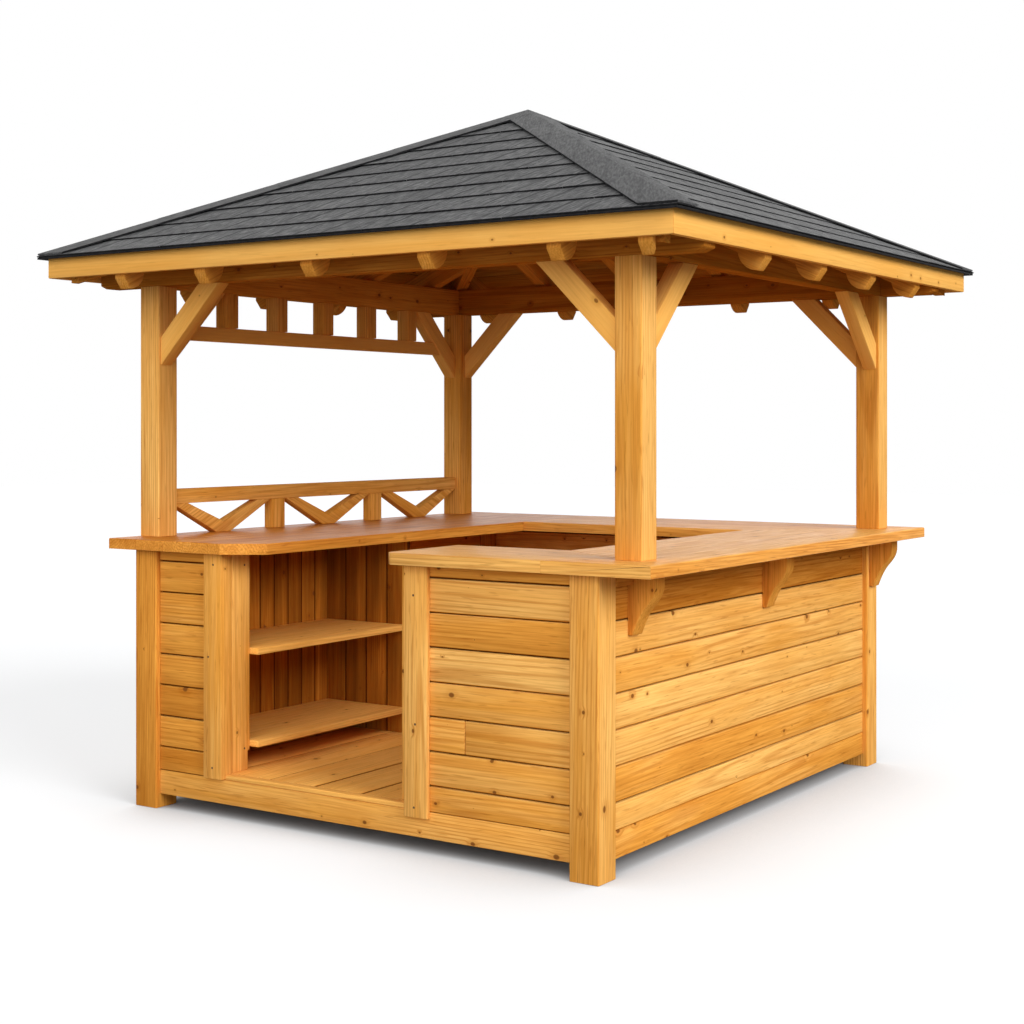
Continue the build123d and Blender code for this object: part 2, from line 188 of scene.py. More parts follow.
def stainedWood(name, look):
    finish, tree, shader = newFinish(name)
    grain = markOf(tree, "grain", "Vector")
    tone = markOf(tree, "tone", "Fac")
    # knots of many sizes that run aslant through the timber, a little drawn out along the grain
    knotFeeds = {0: dotNode(tree, grain, (6.5, 0.0, 0.0)), 1: dotNode(tree, grain, (0.0, 9.0, 7.2))}
    knotPlace = addNode(tree, "ShaderNodeCombineXYZ", None, knotFeeds).outputs[0]
    cellKind = {"feature": "F1", "voronoi_dimensions": "2D"}
    knotCell = addNode(tree, "ShaderNodeTexVoronoi", cellKind, {"Vector": knotPlace, "Scale": 1.0})
    knotSize = rangeNode(tree, knotCell.outputs["Color"], *look["knotShare"], *look["knotSizes"])
    near = mathNode(tree, "DIVIDE", knotCell.outputs["Distance"], knotSize)
    knotCore = rangeNode(tree, near, 0.55, 1.0, 1.0, 0.0)
    knotHalo = rangeNode(tree, near, 0.9, 3.2, 1.0, 0.0)
    # rings wander along the length and bow round the knots
    wanderPlace = vectorNode(tree, "MULTIPLY", grain, (0.9, 5.0, 5.0))
    wander = addNode(tree, "ShaderNodeTexNoise", None, {"Vector": wanderPlace, "Scale": 1.0, "Detail": 2.0})
    wanderShift = vectorNode(tree, "MULTIPLY", wander.outputs["Color"], (0.0, 0.018, 0.018))
    heart = vectorNode(tree, "ADD", vectorNode(tree, "MULTIPLY", grain, (0.0, 1.0, 1.0)), wanderShift)
    radius = addNode(tree, "ShaderNodeVectorMath", {"operation": "LENGTH"}, {0: heart}).outputs["Value"]
    radius = mathNode(tree, "ADD", radius, mathNode(tree, "MULTIPLY", knotHalo, look["haloBow"]))
    turns = mathNode(tree, "MULTIPLY", radius, 2 * math.pi / look["ringGap"])
    ring = rangeNode(tree, mathNode(tree, "SINE", turns), 0.0, 1.0, 0.0, 1.0)
    # long fibres, short resin dashes, broad streaks and slow patches
    fibre = noiseNode(tree, vectorNode(tree, "MULTIPLY", grain, (4.5, 165.0, 165.0)), 1.0, 4.0)
    dash = noiseNode(tree, vectorNode(tree, "MULTIPLY", grain, (11.0, 130.0, 130.0)), 1.0, 1.0)
    streak = noiseNode(tree, vectorNode(tree, "MULTIPLY", grain, (1.2, 24.0, 24.0)), 1.0, 3.0)
    patch = noiseNode(tree, vectorNode(tree, "MULTIPLY", grain, (1.7, 4.0, 4.0)), 1.0, 2.0)
    # colour: the ramp's first third is for the dark joints below tone 0
    toneHere = mathNode(tree, "ADD", tone, rangeNode(tree, streak, 0.3, 0.7, *look["streakTones"]))
    toneHere = mathNode(tree, "ADD", toneHere, rangeNode(tree, patch, 0.3, 0.7, *look["patchTones"]))
    toneHere = mathNode(tree, "ADD", mathNode(tree, "MULTIPLY", toneHere, 0.667), 0.333)
    colour = rampNode(tree, toneHere, look["tones"])
    ringAmount = mathNode(tree, "MULTIPLY", ring, rangeNode(tree, patch, 0.38, 0.62, *look["ringAmount"]))
    colour = mixColour(tree, "MULTIPLY", ringAmount, colour, look["ringTint"])
    fibreAmount = rangeNode(tree, fibre, 0.3, 0.7, 0.0, look["fibreAmount"])
    colour = mixColour(tree, "MULTIPLY", fibreAmount, colour, look["fibreTint"])
    dashAmount = rangeNode(tree, dash, 0.61, 0.75, 0.0, look["dashAmount"])
    colour = mixColour(tree, "MULTIPLY", dashAmount, colour, look["dashTint"])
    haloHere = mathNode(tree, "MULTIPLY", knotHalo, look["haloAmount"])
    colour = mixColour(tree, "MULTIPLY", haloHere, colour, look["haloTint"])
    knotHere = mathNode(tree, "MULTIPLY", knotCore, look["knotAmount"])
    colour = mixColour(tree, "MIX", knotHere, colour, look["knotTint"])
    tree.links.new(colour, shader.inputs["Base Color"])
    roughness = rangeNode(tree, fibre, 0.3, 0.7, look["roughness"] - 0.06, look["roughness"] + 0.1)
    tree.links.new(roughness, shader.inputs["Roughness"])
    shader.inputs["Specular IOR Level"].default_value = look["sheen"]
    height = mathNode(tree, "ADD", mathNode(tree, "MULTIPLY", ring, 0.3), fibre)
    bumpFeeds = {"Strength": look["relief"][0], "Distance": look["relief"][1], "Height": height}
    bump = addNode(tree, "ShaderNodeBump", None, bumpFeeds)
    tree.links.new(bump.outputs["Normal"], shader.inputs["Normal"])
    return finish


# plainer and paler stock for fascias and braces, then the floor's, whose pale tones on the floor and shelves are
# painted light, then the counter's with a slight sheen
calmPine = dict(pine, ringAmount=(0.0, 0.12), fibreAmount=0.18, dashAmount=0.12, knotAmount=0.8, knotShare=(0.62, 1.0))
calmPine["tones"] = ((0.0, (0.15, 0.042, 0.005)), (0.33, (0.70, 0.26, 0.030)),
                     (0.67, (0.94, 0.43, 0.076)), (1.0, (0.99, 0.53, 0.13)))
floorPine = dict(calmPine, ringAmount=(0.05, 0.35), fibreAmount=0.34, dashAmount=0.3)
counterPine = dict(pine, ringAmount=(0.05, 0.35), fibreAmount=0.6, knotAmount=0.4, roughness=0.42, sheen=0.08)
counterPine["tones"] = ((0.0, (0.15, 0.045, 0.006)), (0.33, (0.60, 0.210, 0.022)),
                        (0.67, (0.84, 0.37, 0.060)), (1.0, (0.98, 0.55, 0.15)))

pineFinish = stainedWood("honeyPine", pine)
calmFinish = stainedWood("calmPine", calmPine)
floorFinish = stainedWood("floorPine", floorPine)
counterFinish = stainedWood("counterPine", counterPine)


# mineral felt, scored aslant like split slate

felt = {
    "tones": ((0.25, (0.040, 0.040, 0.041)), (0.5, (0.098, 0.098, 0.098)), (0.8, (0.190, 0.190, 0.188))),
    "crackTint": (0.30, 0.30, 0.31, 1), "crackAmount": 0.6,
    "grooves": 0.2, "grooveTint": (0.16, 0.16, 0.17, 1), "grooveAmount": 1.0, "grit": 0.34, "gritMid": 0.22,
    "roughness": 0.8, "sheen": 0.35, "relief": (0.5, 0.002),
}
capFelt = dict(felt, crackAmount=0.15, grooveAmount=0.3, grit=0.17)


def mineralFelt(name, look):
    finish, tree, shader = newFinish(name)
    lay = markOf(tree, "lay", "Vector")
    tone = markOf(tree, "tone", "Fac")
    aslant = dotNode(tree, lay, (1.5, 4.8, 0.0))
    across = dotNode(tree, lay, (-38.0, 12.0, 0.0))
    scorePlace = addNode(tree, "ShaderNodeCombineXYZ", None, {0: aslant, 1: across, 2: tone}).outputs[0]
    score = noiseNode(tree, scorePlace, 1.0, 2.0)
    offLine = mathNode(tree, "ABSOLUTE", mathNode(tree, "SUBTRACT", score, 0.5))
    crack = rangeNode(tree, offLine, 0.010, 0.055, 1.0, 0.0)
    cloud = noiseNode(tree, lay, 14.0, 5.0)
    # grit lies in short streaks the way the felt is scored
    grit = noiseNode(tree, vectorNode(tree, "MULTIPLY", scorePlace, (5.0, 3.2, 1.0)), 1.0, 3.0)
    gritTones = (look["gritMid"] - look["grit"], look["gritMid"] + look["grit"])
    shade = mathNode(tree, "ADD", mathNode(tree, "MULTIPLY", cloud, 0.4), tone)
    shade = mathNode(tree, "ADD", shade, rangeNode(tree, grit, 0.2, 0.8, *gritTones))
    colour = rampNode(tree, shade, look["tones"])
    crackHere = mathNode(tree, "MULTIPLY", crack, rangeNode(tree, cloud, 0.42, 0.58, 0.0, look["crackAmount"]))
    colour = mixColour(tree, "MULTIPLY", crackHere, colour, look["crackTint"])
    # long straight grooves aslant up the slope, broken here and there
    lane = mathNode(tree, "MULTIPLY", across, look["grooves"])
    lane = mathNode(tree, "ADD", lane, mathNode(tree, "MULTIPLY", cloud, 0.1))
    groove = mathNode(tree, "ABSOLUTE", mathNode(tree, "SUBTRACT", mathNode(tree, "FRACT", lane), 0.5))
    broken = rangeNode(tree, noiseNode(tree, lay, 4.0, 2.0), 0.38, 0.52, 0.25, look["grooveAmount"])
    grooveHere = mathNode(tree, "MULTIPLY", rangeNode(tree, groove, 0.42, 0.465, 0.0, 1.0), broken)
    colour = mixColour(tree, "MULTIPLY", grooveHere, colour, look["grooveTint"])
    tree.links.new(colour, shader.inputs["Base Color"])
    shader.inputs["Roughness"].default_value = look["roughness"]
    shader.inputs["Specular IOR Level"].default_value = look["sheen"]
    height = mathNode(tree, "SUBTRACT", grit, crack)
    bumpFeeds = {"Strength": look["relief"][0], "Distance": look["relief"][1], "Height": height}
    bump = addNode(tree, "ShaderNodeBump", None, bumpFeeds)
    tree.links.new(bump.outputs["Normal"], shader.inputs["Normal"])
    return finish


def blackEdge():
    finish, tree, shader = newFinish("blackEdge")
    place = addNode(tree, "ShaderNodeTexCoord").outputs["Object"]
    stops = ((0.3, (0.006, 0.006, 0.007)), (0.7, (0.018, 0.018, 0.019)))
    tree.links.new(rampNode(tree, noiseNode(tree, place, 60.0, 4.0), stops), shader.inputs["Base Color"])
    shader.inputs["Roughness"].default_value = 0.8
    shader.inputs["Specular IOR Level"].default_value = 0.1
    return finish


def screwMetal():
    finish, tree, shader = newFinish("screwMetal")
    shader.inputs["Base Color"].default_value = (0.10, 0.055, 0.025, 1)
    shader.inputs["Metallic"].default_value = 0.6
    shader.inputs["Roughness"].default_value = 0.6
    return finish


feltFinish = mineralFelt("mineralFelt", felt)
capFinish = mineralFelt("capFelt", capFelt)
edgeFinish = blackEdge()
screwFinish = screwMetal()
print("finishes made")


# timbers

def longestRun(mesh):
    runs = [mesh.vertices[edge.vertices[1]].co - mesh.vertices[edge.vertices[0]].co for edge in mesh.edges]
    return max(runs, key=lambda run: run.length).normalized()


def markTone(piece, tone):
    mark = piece.data.attributes.new("tone", "FLOAT", "POINT")
    mark.data.foreach_set("value", [tone] * len(piece.data.vertices))


def markGrain(piece, rng, along=None, mid=0.5, spread=0.14):
    # writes where each point lies in the log that the timber was sawn from
    mesh = piece.data
    along = Vector(along) if along else longestRun(mesh)
    flats = [face for face in mesh.polygons if abs(face.normal.dot(along)) < 0.2]
    broad = max(flats, key=lambda face: face.area).normal.copy()
    broad = (broad - along * broad.dot(along)).normalized()
    across = broad.cross(along)
    points = [vertex.co.copy() for vertex in mesh.vertices]
    middle = sum(points, Vector()) / len(points)
    local = [((p - middle).dot(along), (p - middle).dot(across), (p - middle).dot(broad)) for p in points]
    width = max(p[1] for p in local) - min(p[1] for p in local)
    depth = max(p[2] for p in local) - min(p[2] for p in local)
    start = rng.uniform(0, 60)
    heartSide = rng.uniform(-0.5, 0.5) * width
    heartDepth = rng.choice((-1, 1)) * (depth * 0.5 + rng.uniform(0.02, 0.09))
    leanSide = rng.uniform(-0.012, 0.012)
    leanDepth = rng.uniform(-0.02, 0.02)
    values = []
    for x, y, z in local:
        values += [x + start, y - heartSide + leanSide * x, z - heartDepth + leanDepth * x]
    mark = mesh.attributes.new("grain", "FLOAT_VECTOR", "POINT")
    mark.data.foreach_set("vector", values)
    markTone(piece, min(max(rng.gauss(mid, spread), -0.2), 0.95))


def rawBoard(low, high):
    middle = [(a + b) / 2 for a, b in zip(low, high)]
    size = [b - a for a, b in zip(low, high)]
    bpy.ops.object.select_all(action="DESELECT")
    bpy.ops.mesh.primitive_cube_add(size=1, location=middle, scale=size)
    board = bpy.context.object
    bpy.ops.object.transform_apply(location=True, rotation=True, scale=True)
    return board


def sawBoard(low, high, edge, segments=2):
    board = rawBoard(low, high)
    openAll(board)
    bpy.ops.mesh.bevel(offset=edge, segments=segments, affect="EDGES", clamp_overlap=True)
    closeEdit()
    return board


def copyNode(nodeName):
    piece = bpy.data.objects.new(nodeName + "_timber", nodes[nodeName].data.copy())
    bpy.context.scene.collection.objects.link(piece)
    openAll(piece)
    bpy.ops.mesh.customdata_custom_splitnormals_clear()
    bpy.ops.mesh.remove_doubles(threshold=0.00002)
    bpy.ops.mesh.dissolve_limited(angle_limit=math.radians(0.5))
    bpy.ops.mesh.normals_make_consistent(inside=False)
    closeEdit()
    return piece


def splitTimbers(piece):
    openAll(piece)
    bpy.ops.mesh.separate(type="LOOSE")
    closeEdit()
    return list(bpy.context.selected_objects)


def easeEdges(piece, width, segments=2):
    takeUp(piece)
    ease = piece.modifiers.new("ease", "BEVEL")
    ease.width = width
    ease.segments = segments
    ease.limit_method = "ANGLE"
    ease.angle_limit = math.radians(25)
    bpy.ops.object.modifier_apply(modifier=ease.name)


# screw heads in the doorway's frame: which way they face and where, as shares of the node's box
toFront, toRight = (math.radians(90), 0, 0), (0, math.radians(90), 0)
screws = {
    "right_trim": ((toFront, (0.45, 0.0, 0.04)), (toFront, (0.5, 0.0, 0.37)), (toFront, (0.42, 0.0, 0.88))),
    "left_jamb": ((toFront, (0.28, 0.0, 0.54)), (toFront, (0.55, 0.0, 0.95)), (toFront, (0.5, 0.0, 0.05))),
    "shelf_stile": ((toRight, (1.0, 0.7, 0.10)), (toRight, (1.0, 0.7, 0.94))),
}
screwHead = {"vertices": 12, "radius": 0.0042, "depth": 0.0012}


def driveScrews(nodeName):
    low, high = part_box(nodeName)
    heads = []
    for turn, shares in screws.get(nodeName, ()):
        spot = [a + (b - a) * share for a, b, share in zip(low, high, shares)]
        bpy.ops.object.select_all(action="DESELECT")
        bpy.ops.mesh.primitive_cylinder_add(**screwHead, location=spot, rotation=turn)
        bpy.ops.object.transform_apply(location=True, rotation=True, scale=True)
        head = bpy.context.object
        paint(head, screwFinish)
        heads.append(head)
    return heads


# timbers that keep the shape of their node: eased edge, tone; the beams' and rafters' low tones are painted shade
# under the roof
timberNodes = {
    "corner_posts": (0.003, 0.58), "sills": (0.005, 0.62), "floor_joists": (0.002, 0.1),
    "left_jamb": (0.004, 0.72), "right_trim": (0.003, 0.82), "right_lining": (0.003, 0.62),
    "shelf_stile": (0.003, 0.62), "shelves": (0.003, 0.95),
    "counter_brackets": (0.003, 0.5), "counter_ledger": (0.002, 0.3),
    "roof_posts": (0.003, 0.8), "front_beam": (0.004, 0.0), "back_beam": (0.004, 0.0),
    "left_beam": (0.004, 0.25), "right_beam": (0.004, 0.05), "knee_braces": (0.004, 0.9),
    "left_rail": (0.004, 0.7), "rail_braces": (0.003, 0.6), "left_header": (0.004, 0.92),
    "header_balusters": (0.003, 0.6), "hip_rafters": (0.003, 0.3), "king_block": (0.003, 0.3),
    "front_rafters": (0.003, 0.45), "right_rafters": (0.003, 0.45), "back_rafters": (0.003, 0.4),
    "left_rafters": (0.003, 0.4), "front_back_fascias": (0.003, 0.95), "side_fascias": (0.003, 0.95),
}
# the header's pale finish and the shelves' floor finish are painted light
otherFinishes = {"front_back_fascias": calmFinish, "side_fascias": calmFinish, "knee_braces": calmFinish,
                 "left_header": calmFinish, "shelves": floorFinish}
# node, axis and side whose timbers are toned darker as painted shade
paintedShadeSides = {("corner_posts", 0, -1): 0.3, ("roof_posts", 1, 1): 0.2, ("roof_posts", 0, 1): 0.12}
paintedLightFaces = {"corner_posts": 0.22, "roof_posts": 0.4}  # faces toward +X of the right-hand posts lightened as painted light


def paintLightRight(part, amount):
    # the faces toward +X are lightened by amount: painted light
    mark = part.data.attributes["tone"]
    edge = max(vertex.co.x for vertex in part.data.vertices)
    for vertex in part.data.vertices:
        if vertex.co.x > edge - 0.0003:
            mark.data[vertex.index].value += amount


def dressTimbers(nodeName, edge, mid):
    rng = random.Random(nodeName)
    parts = splitTimbers(copyNode(nodeName))
    for part in parts:
        easeEdges(part, edge)
        spot = part.data.vertices[0].co
        # painted shade by where the timber stands
        paintedShade = 0.0
        for (name, axis, side), amount in paintedShadeSides.items():
            if name == nodeName and spot[axis] * side > 0:
                paintedShade += amount
        markGrain(part, rng, mid=mid - paintedShade, spread=0.05)
        if spot.x > 0:
            paintLightRight(part, paintedLightFaces.get(nodeName, 0))
        paint(part, otherFinishes.get(nodeName, pineFinish))
    handOver(joinUp(parts + driveScrews(nodeName), nodeName + "_timber"), nodeName)


for timberName, (timberEdge, timberTone) in timberNodes.items():
    dressTimbers(timberName, timberEdge, timberTone)
print("timbers dressed")


# boarded walls: tones from the lowest board up, and boards with a butt joint

# under is painted shade in the joints between boards, upper a painted highlight on each board's upper arris
wall = {"lowest": 0.094, "cover": 0.1215, "gap": 0.0036, "edge": 0.0055, "butt": 0.0008, "tongue": 0.003,
        "under": -0.95, "upper": 0.2}
wallRows = {
    "front_right_wall": (xWay, (0.56, 0.76, 0.56, 0.74, 0.86, 0.42, 0.78, 0.5), {2: 0.365}),
    "front_left_wall": (xWay, (0.30, 0.46, 0.20, 0.46, 0.44, 0.34, 0.44, 0.4), {}),
    # right wall: the two top tones are the counter's painted shadow
    "right_wall": (yWay, (0.80, 0.54, 0.80, 0.84, 0.82, 0.72, 0.10, 0.1), {}),
    "back_wall": (xWay, (0.5, 0.62, 0.42, 0.56, 0.64, 0.38, 0.55, 0.5), {1: 0.6, 4: 0.35}),
    "left_wall": (yWay, (0.55, 0.42, 0.6, 0.5, 0.66, 0.4, 0.55, 0.5), {2: 0.4, 5: 0.7}),
}


def shadeEdges(board, axis, low, high, edge, under, upper):
    # shifts the tone of the points along a board's lower edge by under and along its upper edge by upper; on the walls
    # and floor this is painted shade in the joints and, where upper is positive, a painted highlight on the upper
    # arris
    mark = board.data.attributes["tone"]
    for vertex in board.data.vertices:
        if vertex.co[axis] < low + edge * 0.8:
            mark.data[vertex.index].value += under
        elif vertex.co[axis] > high - edge * 0.8:
            mark.data[vertex.index].value += upper


def sawTongue(nodeName, along, axis, low, high, top):
    # closes the joint above a board, inside the wall; it is toned dark all over as painted shade in the joint
    across = 1 - axis
    middle = (low[across] + high[across]) / 2
    tongueLow, tongueHigh = list(low), list(high)
    tongueLow[across], tongueHigh[across] = middle - wall["tongue"], middle + wall["tongue"]
    tongueLow[2], tongueHigh[2] = top - wall["edge"], top + wall["gap"] + wall["edge"]
    tongue = rawBoard(tongueLow, tongueHigh)
    markGrain(tongue, random.Random(nodeName + "_tongue"), along, mid=0.0, spread=0.02)
    shadeEdges(tongue, 2, tongueLow[2], tongueHigh[2], wall["edge"], wall["under"], wall["under"])
    paint(tongue, pineFinish)
    return tongue


def boardWall(nodeName, along, tones, butts):
    rng = random.Random(nodeName)
    low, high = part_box(nodeName)
    axis = 0 if along == xWay else 1
    boards = []
    for row, tone in enumerate(tones):
        isLast = row == len(tones) - 1
        bottom = low[2] + (wall["lowest"] + wall["cover"] * (row - 1) if row else 0)
        top = high[2] if isLast else low[2] + wall["lowest"] + wall["cover"] * row - wall["gap"]
        edge = min(wall["edge"], (top - bottom) * 0.3)
        stops = [low[axis], high[axis]]
        if row in butts:
            stops.insert(1, low[axis] + (high[axis] - low[axis]) * butts[row])
        for start, end in zip(stops, stops[1:]):
            boardLow, boardHigh = [low[0], low[1], bottom], [high[0], high[1], top]
            boardLow[axis] = start + (wall["butt"] if start > low[axis] else 0)
            boardHigh[axis] = end
            board = sawBoard(boardLow, boardHigh, edge)
            markGrain(board, rng, along, mid=tone, spread=0.05)
            shadeEdges(board, 2, boardLow[2], boardHigh[2], edge, wall["under"], wall["upper"])
            paint(board, pineFinish)
            boards.append(board)
        if not isLast:
            boards.append(sawTongue(nodeName, along, axis, low, high, top))
    handOver(joinUp(boards, nodeName + "_boards"), nodeName)


for wallName, (wallWay, wallTones, wallButts) in wallRows.items():
    boardWall(wallName, wallWay, wallTones, wallButts)
print("walls boarded")


# upright boards behind and beside the shelves: direction across, board width, tone; the low tones are painted shade
# inside the shelves

shelfLining = {"gap": 0.0016, "edge": 0.004, "joint": -0.7}
liningNodes = {"shelf_back": (1, 0.092, -0.15), "shelf_end": (0, 0.11, -0.25)}


def boardLining(nodeName, across, cover, tone):
    rng = random.Random(nodeName)
    low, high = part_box(nodeName)
    edge, joint = shelfLining["edge"], shelfLining["joint"]
    count = max(round((high[across] - low[across]) / cover), 1)
    step = (high[across] - low[across]) / count
    boards = []
    for place in range(count):
        boardLow, boardHigh = list(low), list(high)
        boardLow[across] = low[across] + step * place
        boardHigh[across] = boardLow[across] + step - shelfLining["gap"]
        board = sawBoard(boardLow, boardHigh, edge)
        markGrain(board, rng, zWay, mid=tone, spread=0.08)
        shadeEdges(board, across, boardLow[across], boardHigh[across], edge, joint, joint)
        paint(board, pineFinish)
        boards.append(board)
    handOver(joinUp(boards, nodeName + "_boards"), nodeName)


for liningName, (liningAcross, liningCover, liningTone) in liningNodes.items():
    boardLining(liningName, liningAcross, liningCover, liningTone)


# floor boards from front to back, two joints open, and a pale nosing board in the doorway

floorLook = {"cover": 0.222, "joint": -0.186, "openJoints": (0, 1), "openGap": 0.010, "gap": 0.0012,
             "narrowest": 0.05, "edge": 0.003, "tone": 0.92, "paintedGapShade": -1.2,
             "nosingGap": 0.001, "nosingEdge": 0.004, "nosingTone": 0.95}


def boardFloor():
    rng = random.Random("floor")
    low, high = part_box("floor")
    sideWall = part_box("left_wall")
    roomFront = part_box("front_left_wall")[1][1]
    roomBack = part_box("back_wall")[0][1]
    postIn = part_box("back_wall")[0][0]
    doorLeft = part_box("left_jamb")[1][0]
    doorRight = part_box("right_trim")[0][0]
    joints = {}
    for place in range(-6, 8):
        spot = floorLook["joint"] + floorLook["cover"] * place
        if postIn + floorLook["narrowest"] < spot < -postIn - floorLook["narrowest"]:
            joints[spot] = floorLook["openGap"] if place in floorLook["openJoints"] else floorLook["gap"]
    stops = [(postIn, 0.0), *sorted(joints.items()), (-postIn, 0.0)]
    places = [(low[0], postIn, sideWall[0][1], sideWall[1][1]), (-postIn, high[0], sideWall[0][1], sideWall[1][1])]
    for (left, leftGap), (right, rightGap) in zip(stops, stops[1:]):
        places.append((left + leftGap / 2, right - rightGap / 2, roomFront, roomBack))
    timbers = []
    for left, right, front, back in places:
        board = sawBoard((left, front, low[2]), (right, back, high[2]), floorLook["edge"])
        markGrain(board, rng, yWay, mid=floorLook["tone"], spread=0.04)
        # the board edges are darkened as painted shade in the joints
        shadeEdges(board, 0, left, right, floorLook["edge"], floorLook["paintedGapShade"], floorLook["paintedGapShade"])
        timbers.append(board)
    nosingBack = roomFront - floorLook["nosingGap"]
    nosing = sawBoard((doorLeft, low[1], low[2]), (doorRight, nosingBack, high[2]), floorLook["nosingEdge"], 3)
    markGrain(nosing, rng, xWay, mid=floorLook["nosingTone"], spread=0.02)
    timbers.append(nosing)
    for board in timbers:
        paint(board, floorFinish)
    handOver(joinUp(timbers, "floor_boards"), "floor")


boardFloor()
print("floor and linings boarded")


# counter arms from long planks, cut to the node's slanted ends, the outer edges rounded

counter = {"cover": 0.145, "gap": 0.0005, "edge": 0.0010, "nose": 0.006}
# axis that the planks run along, tone, and where a plank is butted; the left arm's low tone is painted shade under the
# roof, the right and front arms' high tones painted light
counterArms = {
    "counter_left": (1, 0.12, {}), "counter_right": (1, 0.95, {}),
    "counter_front": (0, 0.95, {0: 0.863}), "counter_back": (0, 0.6, {}),
}
edgeLightAndShade = {"counter_right": -0.45, "counter_left": 0.25}  # arms whose edges differ from their tops: painted shade on the right arm's edges, the left arm's edges lifted out of its painted shade


def slantedEnds(nodeName):
    planes = {}
    mesh = nodes[nodeName].data
    for face in mesh.polygons:
        n = face.normal
        if abs(n.z) < 0.05 and min(abs(n.x), abs(n.y)) > 0.1:
            planes[(round(n.x, 2), round(n.y, 2))] = (mesh.vertices[face.vertices[0]].co.copy(), n.copy())
    return list(planes.values())


def roundNose(board, axis, line, top, width):
    # rounds the upper long edge that lies on the counter's outside
    takeUp(board)
    bpy.ops.object.mode_set(mode="EDIT")
    bpy.ops.mesh.select_mode(type="EDGE")
    bpy.ops.mesh.select_all(action="DESELECT")
    closeEdit()
    mesh = board.data
    found = False
    for edge in mesh.edges:
        ends = [mesh.vertices[i].co for i in edge.vertices]
        edge.select = all(abs(end[axis] - line) < 0.0005 and abs(end.z - top) < 0.0005 for end in ends)
        found = found or edge.select
    bpy.ops.object.mode_set(mode="EDIT")
    if found:
        bpy.ops.mesh.bevel(offset=width, segments=4, affect="EDGES", clamp_overlap=True)
    bpy.ops.mesh.select_mode(type="VERT")
    closeEdit()


counterBox = [
    [min(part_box(name)[0][i] for name in counterArms) for i in range(2)],
    [max(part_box(name)[1][i] for name in counterArms) for i in range(2)],
]


def plankCounter(nodeName, along, tone, butts):
    rng = random.Random(nodeName)
    low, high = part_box(nodeName)
    across = 1 - along
    count = max(round((high[across] - low[across]) / counter["cover"]), 1)
    step = (high[across] - low[across]) / count
    ends = slantedEnds(nodeName)
    planks = []
    for place in range(count):
        stops = [low[along], high[along]]
        if place in butts:
            stops.insert(1, butts[place])
        for start, end in zip(stops, stops[1:]):
            plankLow, plankHigh = list(low), list(high)
            plankLow[across] = low[across] + step * place
            plankHigh[across] = plankLow[across] + step - (counter["gap"] if place < count - 1 else 0)
            plankLow[along] = start + (counter["gap"] * 2 if start > low[along] else 0)
            plankHigh[along] = end
            plank = rawBoard(plankLow, plankHigh)
            for axis in (0, 1):
                for side in (0, 1):
                    roundNose(plank, axis, counterBox[side][axis], high[2], counter["nose"])
            for point, way in ends:
                cutPast(plank, point, way)
            easeEdges(plank, counter["edge"], 1)
            markGrain(plank, rng, (yWay if along else xWay), mid=tone, spread=0.05)
            # sides below the rounded nose get the arm's painted light or shade
            mark = plank.data.attributes["tone"]
            for vertex in plank.data.vertices:
                if vertex.co.z < high[2] - counter["nose"] * 0.5:
                    mark.data[vertex.index].value += edgeLightAndShade.get(nodeName, 0)
            paint(plank, counterFinish)
            planks.append(plank)
    handOver(joinUp(planks, nodeName + "_planks"), nodeName)


for armName, (armAlong, armTone, armButts) in counterArms.items():
    plankCounter(armName, armAlong, armTone, armButts)
print("counter laid")


# roof slopes: boards below, felt shingles above

def slopeFrame(nodeName):
    # turn from slope directions (along the eave, up the slope, out of it) to the row frame
    mesh = nodes[nodeName].data
    topFace = max((face for face in mesh.polygons if face.normal.z > 0.3), key=lambda face: face.area)
    normal = topFace.normal.copy()
    along = Vector(zWay).cross(normal).normalized()
    turn = Matrix((along, normal.cross(along), normal)).transposed()
    flat = [turn.transposed() @ vertex.co for vertex in mesh.vertices]
    lows = [min(p[i] for p in flat) for i in range(3)]
    highs = [max(p[i] for p in flat) for i in range(3)]
    outWay = Vector((normal.x, normal.y, 0)).normalized()
    low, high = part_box(nodeName)
    reach = max(abs(outWay.dot(Vector(low))), abs(outWay.dot(Vector(high))))
    half = highs[0]
    hips = [(along * side * reach - outWay * half).normalized() for side in (-1, 1)]
    topHeight = turn.transposed()[2].dot(mesh.vertices[topFace.vertices[0]].co)
    return {"turn": turn.to_4x4(), "lows": lows, "highs": highs, "hips": hips, "top": topHeight, "along": along}


def onSlope(piece, slope):
    takeUp(piece)
    piece.matrix_world = slope["turn"] @ piece.matrix_world
    bpy.ops.object.transform_apply(location=True, rotation=True, scale=True)


def trimAtHips(piece, slope):
    for way in slope["hips"]:
        past = [way.dot(vertex.co) for vertex in piece.data.vertices]
        if min(past) > 0:
            return False
        if max(past) > 0:
            cutPast(piece, (0, 0, 0), way)
    return len(piece.data.vertices) > 0


def markLay(piece, turn, start, shift):
    # place on the roof, along the eave or hip and up it
    back = turn.to_3x3().transposed()
    values = []
    for vertex in piece.data.vertices:
        values += list(back @ (vertex.co - start) + shift)
    mark = piece.data.attributes.new("lay", "FLOAT_VECTOR", "POINT")
    mark.data.foreach_set("vector", values)


# the roof boards' low tone is painted shade under the roof
roofBoards = {"cover": 0.112, "gap": 0.002, "edge": 0.004, "thick": 0.018, "spare": 0.02, "tone": 0.1}


